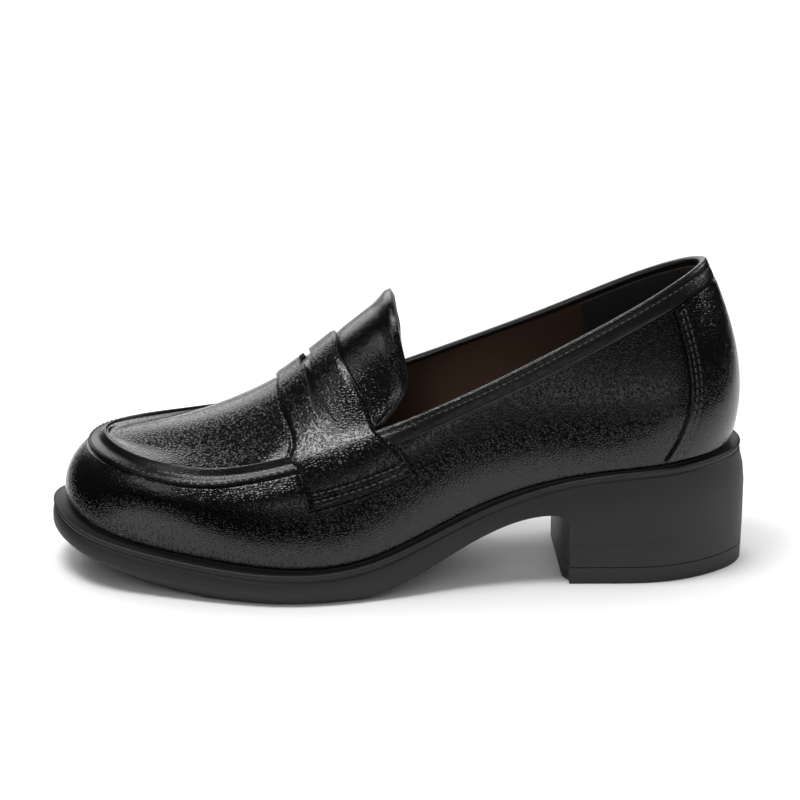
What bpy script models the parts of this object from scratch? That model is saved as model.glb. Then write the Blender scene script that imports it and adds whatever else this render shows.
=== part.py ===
"""Left loafer pump with a mid block heel: saddle strap, raised apron, moulded sole.

Metres, +Z up. The toe points to -X, the outer (lateral) side of the foot to -Y,
and the shoe stands on the floor at Z = 0.
"""

import bmesh
import bpy
import numpy as np
from mathutils import Matrix, Vector

# Driving sizes
UPPER_LENGTH = 0.2425
BALL_WIDTH = 0.0860
SEAT_HEIGHT = 0.0475
BACK_RISE = 0.0645
CROWN_RISE = 0.0400
TOE_SPRING = 0.0110
FEATHER_TOE = -0.1205

# Leather and lining thicknesses
WALL = 0.0018
TONGUE_THICKNESS = 0.0022
STRAP_THICKNESS = 0.0013
BORDER_SEAM_THICKNESS = 0.0006
BORDER_CREST_THICKNESS = 0.0015
BAND_THICKNESS = 0.0008
COUNTER_THICKNESS = 0.0009
INSOLE_THICKNESS = 0.0025
# Clearance between faces, and between the edges of neighbouring panels
GAP = 0.0003
EDGE_GAP = 0.0005

# Sole unit. The step in its side fades out from the ball of the foot to the arch.
STEP_SHARE = 0.38
STEP_FADE = (0.44, 0.60)
RIM_DROP = 0.0022
RIM_BEAD = 0.0019
RIM_GROOVE = 0.0007
GUTTER_INSET = 0.0012
SIDE_STEP = 0.0008
SIDE_STEP_HEIGHT = 0.0006
EDGE_HEIGHT = 0.0015
TREAD_INSET = 0.0026
ARCH_START = -0.0220
ARCH_HEIGHT = 0.0270
BREAST = 0.0605
BREAST_RADIUS = 0.0060
UNDER_BEVEL = 0.0020
ARCH_BEVEL_START = 0.0267
ARCH_BEVEL_END = 0.0215
TOP_PIECE_HEIGHT = 0.0065

# Notch in the middle of the penny slot's front lip
NOTCH_WIDTH = 0.0090
NOTCH_DEPTH = 0.0015

# Mesh fineness
LOOP_STEPS = 72
CROWN_STEPS = 10

TURN = 2 * np.pi
# Small steps in angle and level, for directions along the last
LEVEL_STEP = 0.002
TINY = 1e-12
# How far cutters reach below the floor
BELOW = 0.006

# Lines of the last. Each line runs round the shoe; its ends are shares of UPPER_LENGTH
# from the feather's toe. Columns: station along the line, centre and half width as
# shares of half BALL_WIDTH, rise above the feather as a share of BACK_RISE.
FEATHER_ENDS = (0.0, 0.993)
FEATHER = (
    # station, centre, half width, height as a share of SEAT_HEIGHT
    (0.00, 0.163, 0.000, 0.558),
    (0.03, 0.128, 0.510, 0.490),
    (0.10, 0.070, 0.744, 0.410),
    (0.20, 0.000, 0.890, 0.337),
    (0.32, -0.065, 1.000, 0.295),
    (0.45, -0.070, 0.926, 0.345),
    (0.60, -0.070, 0.700, 0.632),
    (0.75, -0.042, 0.684, 0.878),
    (0.88, -0.023, 0.709, 0.962),
    (0.97, 0.000, 0.465, 0.994),
    (1.00, 0.000, 0.000, 1.000),
)
BELLY_ENDS = (0.005, 1.004)
BELLY = (
    (0.00, 0.150, 0.000, 0.132),
    (0.03, 0.116, 0.523, 0.158),
    (0.10, 0.070, 0.786, 0.178),
    (0.20, -0.010, 0.949, 0.202),
    (0.32, -0.060, 1.030, 0.240),
    (0.45, -0.053, 0.960, 0.288),
    (0.60, -0.042, 0.790, 0.279),
    (0.75, -0.028, 0.728, 0.276),
    (0.88, -0.012, 0.720, 0.299),
    (0.97, 0.000, 0.465, 0.291),
    (1.00, 0.000, 0.000, 0.287),
)
SHOULDER_ENDS = (0.037, 0.964)
SHOULDER = (
    (0.00, 0.105, 0.000, 0.295),
    (0.03, 0.081, 0.465, 0.340),
    (0.10, 0.035, 0.780, 0.374),
    (0.20, -0.012, 0.919, 0.416),
    (0.32, -0.023, 0.919, 0.519),
    (0.45, -0.020, 0.884, 0.588),
    (0.60, -0.010, 0.772, 0.558),
    (0.75, 0.000, 0.642, 0.594),
    (0.88, 0.000, 0.512, 0.749),
    (0.97, 0.000, 0.284, 0.859),
    (1.00, 0.000, 0.000, 0.888),
)
EDGE_ENDS = (0.066, 0.951)
EDGE = (
    (0.00, 0.058, 0.000, 0.355),
    (0.03, 0.035, 0.400, 0.383),
    (0.10, 0.000, 0.680, 0.426),
    (0.20, 0.007, 0.845, 0.488),
    (0.32, 0.000, 0.850, 0.600),
    (0.45, 0.000, 0.800, 0.691),
    (0.60, 0.000, 0.730, 0.667),
    (0.75, 0.000, 0.588, 0.702),
    (0.88, 0.000, 0.447, 0.845),
    (0.97, 0.000, 0.223, 0.963),
    (1.00, 0.000, 0.000, 1.000),
)

# Crown over the instep: station on the edge line, rise of the ridge above that line as
# a share of CROWN_RISE, and fullness of the arch across.
CROWN = (
    (0.00, 0.000, 1.00),
    (0.03, 0.075, 1.00),
    (0.10, 0.180, 1.00),
    (0.20, 0.315, 1.10),
    (0.32, 0.525, 1.25),
    (0.45, 0.885, 1.40),
    (0.60, 1.150, 1.40),
    (0.75, 0.800, 1.30),
    (0.88, 0.500, 1.20),
    (0.97, 0.200, 1.10),
    (1.00, 0.000, 1.00),
)

# Sole: station on the feather line, then how far the rim, the band and the foot of the
# side stand out from the feather as shares of half BALL_WIDTH, and the toe's lift off
# the floor as a share of TOE_SPRING.
SOLE = (
    (0.00, 0.105, 0.112, 0.023, 1.00),
    (0.03, 0.093, 0.098, 0.000, 0.74),
    (0.10, 0.081, 0.084, -0.030, 0.34),
    (0.20, 0.070, 0.074, 0.000, 0.03),
    (0.32, 0.060, 0.067, 0.028, 0.00),
    (0.45, 0.047, 0.051, 0.012, 0.00),
    (0.60, 0.030, 0.035, -0.010, 0.00),
    (0.75, 0.023, 0.042, -0.030, 0.00),
    (0.88, 0.023, 0.050, -0.030, 0.00),
    (0.97, 0.060, 0.080, 0.020, 0.00),
    (1.00, 0.110, 0.150, 0.135, 0.00),
)

# Levels up the upper: feather 0, belly 1, shoulder 2, edge 3 and ridge 4
SHOULDER_LEVEL, EDGE_LEVEL, RIDGE_LEVEL = 2, 3, 4
# Way round the instep to each level, as a share of the way to the ridge
LEVEL_GIRTH = (0.00, 0.14, 0.33, 0.42, 1.00)

# Saddle strap: level, then stations of its front and rear edges at that level
STRAP = (
    (1.00, 0.363, 0.518),
    (2.00, 0.334, 0.480),
    (3.00, 0.303, 0.443),
    (3.20, 0.288, 0.413),
    (3.40, 0.279, 0.393),
    (3.65, 0.278, 0.383),
    (4.00, 0.288, 0.390),
)
# Levels of the strap's lower front and rear corners
STRAP_FOOT = (1.28, 1.37)

# Penny slot: level, then its front and rear lips as shares of the strap's width from
# its front edge; the first row is the leaf's tip
SLOT = (
    (3.20, 0.583, 0.583),
    (3.25, 0.442, 0.574),
    (3.33, 0.400, 0.553),
    (3.45, 0.393, 0.545),
    (3.60, 0.443, 0.538),
    (3.80, 0.487, 0.571),
    (4.00, 0.460, 0.589),
)

# Where the plug ends and the tongue begins, under the strap; how far above the edge
# line, in levels, the tongue is sewn on
THROAT_STATION = 0.310
TONGUE_SEAM = 0.03

# Rear edge of the tongue: level, station
TONGUE_REAR = (
    (3.00, 0.443),
    (3.10, 0.467),
    (3.20, 0.480),
    (3.30, 0.478),
    (3.50, 0.473),
    (3.75, 0.475),
    (4.00, 0.477),
)

# Front edge of the counter panel: level, station
COUNTER_FRONT = (
    (0.04, 0.887),
    (1.00, 0.913),
    (1.96, 0.928),
)


def columns(table):
    """The columns of a table, as arrays."""
    return np.array(table, dtype=float).T


def loop_angle(station):
    """Angle round a line: 0 at the toe, half a turn at the heel."""
    return np.arccos(1 - 2 * np.asarray(station))


def loop_spline(station, values, odd):
    """Smooth closed curve through values given from toe to heel on one side.

    The other side mirrors them, with the sign changed if odd. The curve is a cubic
    with continuous curvature, read at any angle round the loop.
    """
    angle = loop_angle(station)
    mirror = -values if odd else values
    knots = np.concatenate([-angle[-2:0:-1], angle])
    points = np.concatenate([mirror[-2:0:-1], values])
    count = len(knots)
    step = np.diff(np.append(knots, knots[0] + TURN))
    slope = (np.roll(points, -1) - points) / step
    here = np.arange(count)
    matrix = np.zeros((count, count))
    matrix[here, here] = 2 * (step + np.roll(step, 1))
    matrix[here, here - 1] = np.roll(step, 1)
    matrix[here, (here + 1) % count] += step
    bend = np.linalg.solve(matrix, 6 * (slope - np.roll(slope, 1)))

    def curve(at):
        at = (at - knots[0]) % TURN + knots[0]
        low = np.searchsorted(knots, at, side="right") - 1
        high = (low + 1) % count
        width = step[low]
        before = at - knots[low]
        after = width - before
        cubic = bend[low] * after**3 + bend[high] * before**3
        line_low = points[low] / width - bend[low] * width / 6
        line_high = points[high] / width - bend[high] * width / 6
        return cubic / (6 * width) + line_low * after + line_high * before

    return curve


class Line:
    """A line round the last, read as points at angles round the shoe."""

    def __init__(self, table, ends, feather=None):
        station, centre, half_width, height = columns(table)
        self.toe = FEATHER_TOE + ends[0] * UPPER_LENGTH
        self.length = (ends[1] - ends[0]) * UPPER_LENGTH
        self.centre = loop_spline(station, centre * BALL_WIDTH / 2, odd=False)
        self.half = loop_spline(station, half_width * BALL_WIDTH / 2, odd=True)
        self.rise = loop_spline(station, height, odd=False)
        self.feather = feather

    def __call__(self, angle):
        x = self.toe + self.length * (1 - np.cos(angle)) / 2
        y = self.centre(angle) - self.half(angle)
        if self.feather is None:
            z = self.rise(angle) * SEAT_HEIGHT
        else:
            z = self.feather.rise(angle) * SEAT_HEIGHT + self.rise(angle) * BACK_RISE
        return np.stack([x, y, z], axis=-1)


feather_line = Line(FEATHER, FEATHER_ENDS)
belly_line = Line(BELLY, BELLY_ENDS, feather_line)
shoulder_line = Line(SHOULDER, SHOULDER_ENDS, feather_line)
edge_line = Line(EDGE, EDGE_ENDS, feather_line)
crown_station, crown_rise, crown_fullness = columns(CROWN)
ridge_rise = loop_spline(crown_station, crown_rise * CROWN_RISE, odd=False)
ridge_fullness = loop_spline(crown_station, crown_fullness, odd=False)


def length_of(vectors):
    return np.linalg.norm(vectors, axis=-1, keepdims=True)


def unit(vectors):
    return vectors / np.maximum(length_of(vectors), TINY)


def wall(angle, level):
    """Side of the upper: at each angle one cubic rib through the four lines."""
    ribs = [line(angle) for line in (feather_line, belly_line, shoulder_line, edge_line)]
    steps = [length_of(ribs[k + 1] - ribs[k])[..., 0] for k in range(3)]
    total = steps[0] + steps[1] + steps[2]
    knots = [np.zeros_like(total), steps[0] / total, (steps[0] + steps[1]) / total, np.ones_like(total)]
    low = np.clip(np.floor(level), 0, 2).astype(int)
    start = np.choose(low, knots[:3])
    share = start + (np.choose(low, knots[1:]) - start) * (level - low)
    point = 0
    for k in range(4):
        weight = np.ones_like(share)
        for other in range(4):
            if other != k:
                weight = weight * (share - knots[other]) / (knots[k] - knots[other])
        point = point + weight[..., None] * ribs[k]
    return point


def crown(angle, share):
    """Top of the last from the edge line, share 0, over to the ridge, share 1."""
    edge = edge_line(angle)
    lateral = np.where(angle > 0, 1.0, -1.0)
    ridge = np.stack([edge[..., 0], edge_line.centre(angle), edge[..., 2] + ridge_rise(angle)], axis=-1)
    leave = unit(edge - wall(angle, np.full_like(angle, EDGE_LEVEL - LEVEL_STEP)))
    arrive = np.stack([0 * lateral, lateral, 0 * lateral], axis=-1)
    reach = length_of(ridge - edge) * ridge_fullness(angle)[..., None]
    t = share[..., None]
    return (
        (2 * t**3 - 3 * t**2 + 1) * edge
        + (t**3 - 2 * t**2 + t) * reach * leave
        + (3 * t**2 - 2 * t**3) * ridge
        + (t**3 - t**2) * reach * arrive
    )


def skin(angle, level):
    """Outside of the last at any angle and level."""
    angle, level = np.broadcast_arrays(np.asarray(angle, float), np.asarray(level, float))
    side = wall(angle, np.minimum(level, EDGE_LEVEL))
    top = crown(angle, np.clip(level - EDGE_LEVEL, 0, 1))
    return np.where((level > EDGE_LEVEL)[..., None], top, side)


def lifted(angle, level, distance):
    """The outside of the last moved out along its normal by a distance."""
    angle, level = np.broadcast_arrays(angle, level)
    ahead = skin(angle + LEVEL_STEP, level) - skin(angle - LEVEL_STEP, level)
    up = skin(angle, level + LEVEL_STEP) - skin(angle, level - LEVEL_STEP)
    return skin(angle, level) + unit(np.cross(ahead, up)) * np.asarray(distance)[..., None]


def girth(level):
    return np.interp(level, range(len(LEVEL_GIRTH)), LEVEL_GIRTH)


def table_curve(table, level):
    """Columns of a table of levels at the given levels, as curves smooth round the girth."""
    keys, *values = columns(table)
    return [hermite(girth(keys), value, girth(level)) for value in values]


def hermite(keys, values, at):
    """Cubic pieces through the values, with finite-difference slopes."""
    slope = np.gradient(values, keys)
    low = np.clip(np.searchsorted(keys, at, side="right") - 1, 0, len(keys) - 2)
    width = keys[low + 1] - keys[low]
    t = (at - keys[low]) / width
    start, end = values[low], values[low + 1]
    leave, arrive = slope[low] * width, slope[low + 1] * width
    bend = (t**3 - 2 * t**2 + t) * leave + (t**3 - t**2) * arrive
    return start + (3 * t**2 - 2 * t**3) * (end - start) + bend


def grid_faces(rows, cols, closed=False):
    """Quads of a grid, wound so that rows x columns points out."""
    row, col = np.meshgrid(np.arange(rows if closed else rows - 1), np.arange(cols - 1), indexing="ij")
    ahead = (row + 1) % rows
    corners = [row * cols + col, ahead * cols + col, ahead * cols + col + 1, row * cols + col + 1]
    return np.stack(corners, axis=-1).reshape(-1, 4)


def material(name, colour, roughness):
    made = bpy.data.materials.new(name)
    made.use_nodes = True
    shader = made.node_tree.nodes["Principled BSDF"]
    shader.inputs["Base Color"].default_value = (*colour, 1)
    shader.inputs["Roughness"].default_value = roughness
    made.diffuse_color = (*colour, 1)
    return made


def mesh_object(name, points, faces, finish=None, smooth=True):
    """An object from points and faces, with doubled points merged."""
    mesh = bpy.data.meshes.new(name)
    mesh.from_pydata(points.reshape(-1, 3).tolist(), [], list(faces))
    work = bmesh.new()
    work.from_mesh(mesh)
    bmesh.ops.remove_doubles(work, verts=work.verts, dist=1e-6)
    bmesh.ops.dissolve_degenerate(work, edges=work.edges, dist=1e-6)
    work.to_mesh(mesh)
    work.free()
    made = bpy.data.objects.new(name, mesh)
    if finish:
        mesh.materials.append(finish)
        parts.objects.link(made)
        made.parent = frame
    else:
        made.hide_render = True
        made.display_type = "WIRE"
        cutters.objects.link(made)
    if smooth:
        mesh.shade_smooth()
        mesh.set_sharp_from_angle(angle=np.radians(35))
    return made


def thicken(made, thickness, weights=None):
    """Gives an open surface its thickness, inwards."""
    solid = made.modifiers.new("Thickness", "SOLIDIFY")
    solid.thickness = thickness
    solid.offset = -1
    solid.use_even_offset = True
    if weights is not None:
        group = made.vertex_groups.new(name="Thickness")
        for index, weight in enumerate(weights):
            group.add([index], float(weight), "REPLACE")
        solid.vertex_group = "Thickness"
        solid.thickness_vertex_group = 0


def cut(made, cutter, operation="DIFFERENCE"):
    boolean = made.modifiers.new(cutter.name, "BOOLEAN")
    boolean.operation = operation
    boolean.object = cutter


def loft(name, loops, finish=None):
    """Closed solid through loops round the shoe, capped straight across its first and last loops."""
    points = np.stack(loops, axis=1)
    count, cols = points.shape[:2]
    faces = grid_faces(count, cols, closed=True).tolist()
    near = np.arange(1, count // 2 - 1)
    cap = np.stack([near, -near, -near - 1, near + 1], axis=-1) % count
    cap = [[0, count - 1, 1], *cap.tolist(), [count // 2 - 1, count // 2 + 1, count // 2]]
    for corners in cap:
        faces.append([corner * cols for corner in corners])
        faces.append([corner * cols + cols - 1 for corner in reversed(corners)])
    return mesh_object(name, points, faces, finish)


def overlay(name, angle, level, thickness, finish):
    """A panel that lies GAP off the upper; its thickness may vary over the grid."""
    outside = lifted(angle, level, GAP + thickness)
    made = mesh_object(name, outside, grid_faces(*angle.shape), finish)
    most = float(np.max(thickness))
    thicken(made, most, thickness.ravel() / most if np.ndim(thickness) else None)


def ring_angles():
    """Angles round the shoe, starting at the toe."""
    return np.arange(LOOP_STEPS) * TURN / LOOP_STEPS


def signed(angle):
    """The same angle between minus half a turn and half a turn."""
    return (angle + np.pi) % TURN - np.pi


def make_upper():
    """Hollow upper: the wall all round, and the plug over the toes as far as the throat."""
    angle = signed(ring_angles())
    levels = np.array([0, 0.35, 0.7, 1, 1.35, 1.7, 2, 2.33, 2.67, 3])
    ring = skin(angle[:, None], levels[None, :])
    ring_faces = grid_faces(LOOP_STEPS, len(levels), closed=True)
    rows = int(np.ceil(loop_angle(THROAT_STATION) / TURN * LOOP_STEPS)) + 1
    plug_angle = np.linspace(0, 1, rows) * loop_angle(THROAT_STATION)
    plug_angle[:-1] = ring_angles()[: rows - 1]
    share = crown_levels() - EDGE_LEVEL
    lateral = crown(plug_angle[:, None] + 0 * share, share + 0 * plug_angle[:, None])
    medial = crown(-plug_angle[:, None] + 0 * share, share + 0 * plug_angle[:, None])
    plug = np.concatenate([lateral, medial[:, -2::-1]], axis=1)
    plug_faces = grid_faces(rows, plug.shape[1]) + ring.shape[0] * ring.shape[1]
    points = np.concatenate([ring.reshape(-1, 3), plug.reshape(-1, 3)])
    made = mesh_object("upper", points, np.concatenate([ring_faces, plug_faces]), black_leather)
    thicken(made, WALL)


def crown_levels():
    return np.linspace(EDGE_LEVEL, RIDGE_LEVEL, CROWN_STEPS + 1)


def both_sides(level):
    """Levels that rise to the ridge, mirrored down the other side, and the sign of each side."""
    side = np.concatenate([np.ones(level.shape[1]), -np.ones(level.shape[1] - 1)])
    return np.hstack([level, level[:, -2::-1]]), side


def tongue_rear(level):
    return table_curve(TONGUE_REAR, level)[0]


def make_tongue():
    """Tongue: carries the plug on from the throat, up inside the strap, to a rounded end."""
    throat = THROAT_STATION + 2 * GAP / UPPER_LENGTH
    share = np.linspace(0, 1, 13)[:, None]
    rise = crown_levels()
    rise[0] += TONGUE_SEAM
    level, side = both_sides(rise + 0 * share)
    angle = loop_angle(throat * (1 - share) + tongue_rear(level) * share) * side
    made = mesh_object("tongue", skin(angle, level), grid_faces(*angle.shape), black_leather)
    thicken(made, TONGUE_THICKNESS)


def strap_front(level):
    return table_curve(STRAP, level)[0]


def strap_rear(level):
    return table_curve(STRAP, level)[1]


def slot_lips(level):
    """Stations of the penny slot's front and rear lips; they are one line beyond its tip."""
    front, rear = strap_front(level), strap_rear(level)
    lips = table_curve(SLOT, np.maximum(level, SLOT[0][0]))
    return [front + (rear - front) * lip for lip in lips]


def notch_level():
    """Level where the notch in the slot's front lip starts, from its width over the ridge."""
    ridge_station = (STRAP[-1][1] + STRAP[-1][2]) / 2
    arch = skin(loop_angle(ridge_station), np.linspace(EDGE_LEVEL, RIDGE_LEVEL, 40))
    return RIDGE_LEVEL - NOTCH_WIDTH / 2 / np.sum(length_of(np.diff(arch, axis=0)))


def make_strap():
    """Saddle strap over the instep: two rails either side of its slot, one band beyond the tips."""
    notch = notch_level()
    rows = np.linspace(0, 1, 4)[:, None]
    rails = []
    for rail in (0, 1):
        foot = STRAP_FOOT[0] + (STRAP_FOOT[1] - STRAP_FOOT[0]) * (rail + rows) / 2
        below = foot + (EDGE_LEVEL - foot) * np.linspace(0, 1, 8)[:-1]
        above = np.sort(np.append(crown_levels(), [notch, notch + LEVEL_STEP]))
        level, side = both_sides(np.hstack([below, above + 0 * foot]))
        front_lip, rear_lip = slot_lips(level)
        front_lip = front_lip - (level > notch) * NOTCH_DEPTH / UPPER_LENGTH
        edges = ((strap_front(level), front_lip), (rear_lip, strap_rear(level)))[rail]
        station = edges[0] * (1 - rows) + edges[1] * rows
        rails.append(lifted(loop_angle(station) * side, level, GAP + STRAP_THICKNESS))
    faces = grid_faces(*rails[0].shape[:2])
    faces = np.concatenate([faces, faces + rails[0].shape[0] * rails[0].shape[1]])
    made = mesh_object("saddle_strap", np.stack(rails), faces, black_leather)
    thicken(made, STRAP_THICKNESS)


def make_border():
    """Apron border: a raised band round the plug, thin at its seam and crested at its inner edge."""
    level = np.linspace(SHOULDER_LEVEL, EDGE_LEVEL, 5)
    end = loop_angle(strap_front(level) - EDGE_GAP / UPPER_LENGTH)
    angle = np.linspace(-1, 1, 49)[:, None] * end
    rise = level - SHOULDER_LEVEL + 0 * angle
    thickness = BORDER_SEAM_THICKNESS + (BORDER_CREST_THICKNESS - BORDER_SEAM_THICKNESS) * rise
    overlay("apron_border", angle, level, thickness, black_leather)


def make_collar_band():
    """Collar band along the topline, from the strap's rear edge round the heel."""
    level = np.linspace(SHOULDER_LEVEL, EDGE_LEVEL, 4)
    start = loop_angle(strap_rear(level) + EDGE_GAP / UPPER_LENGTH)
    angle = start + (TURN - 2 * start) * np.linspace(0, 1, 61)[:, None]
    overlay("collar_band", signed(angle), level, BAND_THICKNESS, black_leather)


def make_counter():
    """Counter panel round the back of the heel, below the collar band."""
    level = np.linspace(COUNTER_FRONT[0][0], COUNTER_FRONT[-1][0], 8)
    start = loop_angle(table_curve(COUNTER_FRONT, level)[0])
    angle = start + (TURN - 2 * start) * np.linspace(0, 1, 25)[:, None]
    overlay("counter_panel", signed(angle), level, COUNTER_THICKNESS, black_leather)


def beside(loop, distance):
    """A loop moved outwards in plan by a distance."""
    along = np.roll(loop, -1, axis=0) - np.roll(loop, 1, axis=0)
    out = unit(np.stack([along[:, 1], -along[:, 0]], axis=-1))
    moved = loop.copy()
    moved[:, :2] += out * np.broadcast_to(distance, len(loop))[:, None]
    return moved


def raised(loop, height):
    moved = loop.copy()
    moved[:, 2] = height
    return moved


def make_insole():
    """Insole board and sock, inside the upper on the sole."""
    inner = beside(feather_line(signed(ring_angles())), -(WALL + 2 * GAP))
    top = raised(inner, inner[:, 2] + INSOLE_THICKNESS)
    loft("insole", [inner, top], brown_lining)


def sole_body(name, finish):
    """The moulded sole as if it were solid down to the floor, before the arch is cut."""
    angle = signed(ring_angles())
    station = (1 - np.cos(angle)) / 2
    feather = feather_line(angle)
    keys, *shares = columns(SOLE)
    rim, band, foot = [loop_spline(keys, value * BALL_WIDTH / 2, odd=False)(angle) for value in shares[:3]]
    floor = np.maximum(loop_spline(keys, shares[3] * TOE_SPRING, odd=False)(angle), 0)
    floor = np.where(station > 0.2, 0, floor)
    front = np.clip((STEP_FADE[1] - station) / (STEP_FADE[1] - STEP_FADE[0]), 0, 1)
    seat = feather[:, 2] - GAP
    top = feather[:, 2] - RIM_DROP
    side = top - floor
    step_height = floor + STEP_SHARE * side
    step_out = band - (band - foot) * (1 - STEP_SHARE) / 2 * (1 - front)

    def ring(out, height):
        return raised(beside(feather, out), height)

    loops = [
        ring(foot - TREAD_INSET * front, floor),
        ring(foot, floor + EDGE_HEIGHT * front),
        ring(step_out - SIDE_STEP * front, step_height - SIDE_STEP_HEIGHT),
        ring(step_out, step_height),
        ring(band, floor + (1 + STEP_SHARE) / 2 * side),
        ring(rim - RIM_GROOVE / 2, top - RIM_BEAD - 1.8 * RIM_GROOVE),
        ring(rim - RIM_GROOVE, top - RIM_BEAD - RIM_GROOVE),
        ring(rim, top - RIM_BEAD),
        ring(rim, top - RIM_BEAD / 2),
        ring(rim - RIM_BEAD / 3, top),
        ring(GUTTER_INSET * 0.3, top),
        ring(-GUTTER_INSET, seat),
    ]
    return loft(name, loops, finish)


def box(name, low, high):
    bpy.ops.mesh.primitive_cube_add(size=1)
    made = bpy.context.object
    made.name = name
    low, high = Vector(low), Vector(high)
    made.data.transform(Matrix.LocRotScale((low + high) / 2, None, high - low))
    made.hide_render = True
    made.display_type = "WIRE"
    for owner in made.users_collection:
        owner.objects.unlink(made)
    cutters.objects.link(made)
    return made


def arch_cutter():
    """The hollow between forefoot and heel: a smooth rise, a fillet and the heel breast.

    It widens towards both sides, which leaves a bevel under the arch and down the breast.
    """
    end = BREAST - BREAST_RADIUS
    run = np.linspace(0, 1, 15)[:, None]
    turn = np.linspace(np.pi / 2, 0, 6)[1:, None]

    def section(y, bevel):
        rise = ARCH_HEIGHT * run**2 * (3 - 2 * run) - bevel
        arch = np.hstack([ARCH_START + (end - ARCH_START) * run, 0 * run + y, rise])
        radius = BREAST_RADIUS - bevel
        centre = ARCH_HEIGHT - BREAST_RADIUS
        fillet = np.hstack([end + radius * np.cos(turn), 0 * turn + y, centre + radius * np.sin(turn)])
        return np.vstack([[ARCH_START, y, -BELOW], arch, fillet, [end + radius, y, -BELOW]])

    side, middle = ARCH_BEVEL_START, ARCH_BEVEL_END
    places = [(BALL_WIDTH, 0), (side, 0), (middle, UNDER_BEVEL), (-middle, UNDER_BEVEL), (-side, 0), (-BALL_WIDTH, 0)]
    points = np.stack([section(y, bevel) for y, bevel in places])
    rows, cols = points.shape[:2]
    faces = grid_faces(rows, cols).tolist()
    for row in range(rows - 1):
        low, high = row * cols, (row + 1) * cols
        faces.append([low + cols - 1, high + cols - 1, high, low])
    faces.append(list(range(cols)))
    faces.append(list(range((rows - 1) * cols, rows * cols))[::-1])
    return mesh_object("arch_cutter", points, faces, smooth=False)


def make_sole():
    """Sole unit with the moulded heel, and the heel's separate top piece under it."""
    arch = arch_cutter()
    reach = UPPER_LENGTH
    front = BREAST - 2 * BREAST_RADIUS
    relief = box("top_piece_relief", (front, -reach, -BELOW), (reach, reach, TOP_PIECE_HEIGHT + GAP))
    slab = box("top_piece_slab", (front, -reach, -BELOW), (reach, reach, TOP_PIECE_HEIGHT))
    sole = sole_body("sole_unit", black_rubber)
    cut(sole, arch)
    cut(sole, relief)
    top_piece = sole_body("heel_top_piece", black_rubber)
    cut(top_piece, arch)
    cut(top_piece, slab, "INTERSECT")


def centre_frame():
    """Moves the frame so that the shoe's box is centred on the origin."""
    bpy.context.view_layer.update()
    graph = bpy.context.evaluated_depsgraph_get()
    corners = np.array([v.co for part in parts.objects for v in part.evaluated_get(graph).data.vertices])
    middle = (corners.min(axis=0) + corners.max(axis=0)) / 2
    frame.location = (-middle[0], -middle[1], 0)


for old in list(bpy.data.objects):
    bpy.data.objects.remove(old)
parts = bpy.data.collections.new("loafer_pump")
cutters = bpy.data.collections.new("cutters")
for group in (parts, cutters):
    bpy.context.scene.collection.children.link(group)
frame = bpy.data.objects.new("shoe_frame", None)
bpy.context.scene.collection.objects.link(frame)
black_leather = material("black_leather", (0.012, 0.012, 0.014), 0.38)
brown_lining = material("brown_lining", (0.045, 0.028, 0.018), 0.70)
black_rubber = material("black_rubber", (0.020, 0.020, 0.022), 0.60)
make_upper()
make_insole()
make_tongue()
make_strap()
make_border()
make_collar_band()
make_counter()
make_sole()
centre_frame()
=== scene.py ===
"""Left loafer pump with a mid block heel: grained black leather on a moulded rubber sole."""

import bmesh
import bpy
import numpy as np
from mathutils import Matrix, Vector


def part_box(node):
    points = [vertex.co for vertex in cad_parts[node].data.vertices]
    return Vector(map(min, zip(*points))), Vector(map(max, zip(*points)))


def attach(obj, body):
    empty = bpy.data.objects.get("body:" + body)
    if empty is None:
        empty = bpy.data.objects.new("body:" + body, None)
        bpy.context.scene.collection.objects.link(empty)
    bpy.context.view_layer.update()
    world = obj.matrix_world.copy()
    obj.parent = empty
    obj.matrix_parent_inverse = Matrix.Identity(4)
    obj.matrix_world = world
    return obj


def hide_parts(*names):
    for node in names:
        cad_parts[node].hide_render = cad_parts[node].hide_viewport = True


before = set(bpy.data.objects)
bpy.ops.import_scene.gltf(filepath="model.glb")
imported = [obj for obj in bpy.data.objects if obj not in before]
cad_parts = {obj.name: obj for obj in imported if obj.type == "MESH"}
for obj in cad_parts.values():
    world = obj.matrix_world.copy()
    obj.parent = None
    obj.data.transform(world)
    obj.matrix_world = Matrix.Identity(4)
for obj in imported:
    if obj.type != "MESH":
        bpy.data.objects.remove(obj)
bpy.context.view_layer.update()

TURN = 2 * np.pi
MM = 0.001

# Driving sizes, as the solids have them
UPPER_LENGTH = 0.2425
BALL_WIDTH = 0.0860
SEAT_HEIGHT = 0.0475
BACK_RISE = 0.0645
CROWN_RISE = 0.0400
TOE_SPRING = 0.0110
FEATHER_TOE = -0.1205

# Leather and lining
WALL = 0.0018
TONGUE_THICKNESS = 0.0022
STRAP_THICKNESS = 0.0013
COUNTER_THICKNESS = 0.0009
INSOLE_THICKNESS = 0.0025
GAP = 0.0003

# Sole unit
STEP_SHARE = 0.38
STEP_FADE = (0.44, 0.60)
RIM_DROP = 0.0022
RIM_BEAD = 0.0019
RIM_GROOVE = 0.0007
GUTTER_INSET = 0.0012
SIDE_STEP = 0.0008
EDGE_HEIGHT = 0.0015
TREAD_INSET = 0.0026
ARCH_START = -0.0220
ARCH_HEIGHT = 0.0270
BREAST = 0.0605
BREAST_RADIUS = 0.0060
UNDER_BEVEL = 0.0020
TOP_PIECE_HEIGHT = 0.0065

# Notch in the middle of the penny slot's front lip
NOTCH_WIDTH = 0.0090
NOTCH_DEPTH = 0.0015

# Soft relief in the leather, which the solids leave out
STRAP_TROUGH = 0.5 * MM
SEAM_TROUGH = 0.32 * MM
VAMP_ROLL = 1.4 * MM
EDGE_PULL = 1.0 * MM
RIDGE_RISE = 0.8 * MM
TONGUE_FLARE = 1.2 * MM
TONGUE_TURN = 0.75 * MM

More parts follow.
